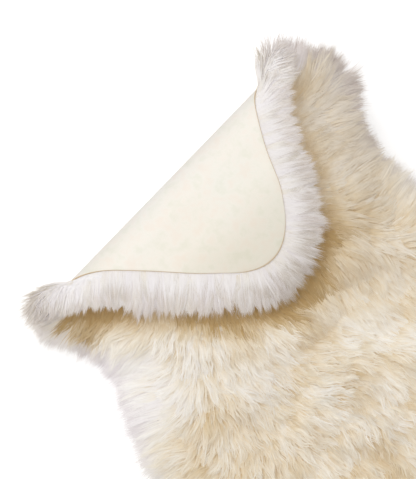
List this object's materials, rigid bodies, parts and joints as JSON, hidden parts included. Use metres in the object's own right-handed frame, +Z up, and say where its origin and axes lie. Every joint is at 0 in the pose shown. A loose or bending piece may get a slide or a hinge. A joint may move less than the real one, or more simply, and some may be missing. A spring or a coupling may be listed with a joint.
{
  "type": "sheepskin rug",
  "caption": "Long-pile sheepskin rug in the shape of a whole pelt, lying wool side up with its neck end folded over to show the bare hide.",
  "frame": {"origin": "middle of the underside of the rug's box, on the floor", "axes": "+Z up, +Y along the pelt towards the fold at its neck end, +X along the fold line"},
  "size_m": [0.697, 0.8286, 0.083],
  "materials": {
    "hide": "matt cream suede, the bare tanned skin side",
    "wool": "soft ivory wool in wavy locks, warmer and darker at the roots"
  },
  "bodies": {
    "root": {"hide": "hide", "wool": "wool"}
  },
  "joints": []
}
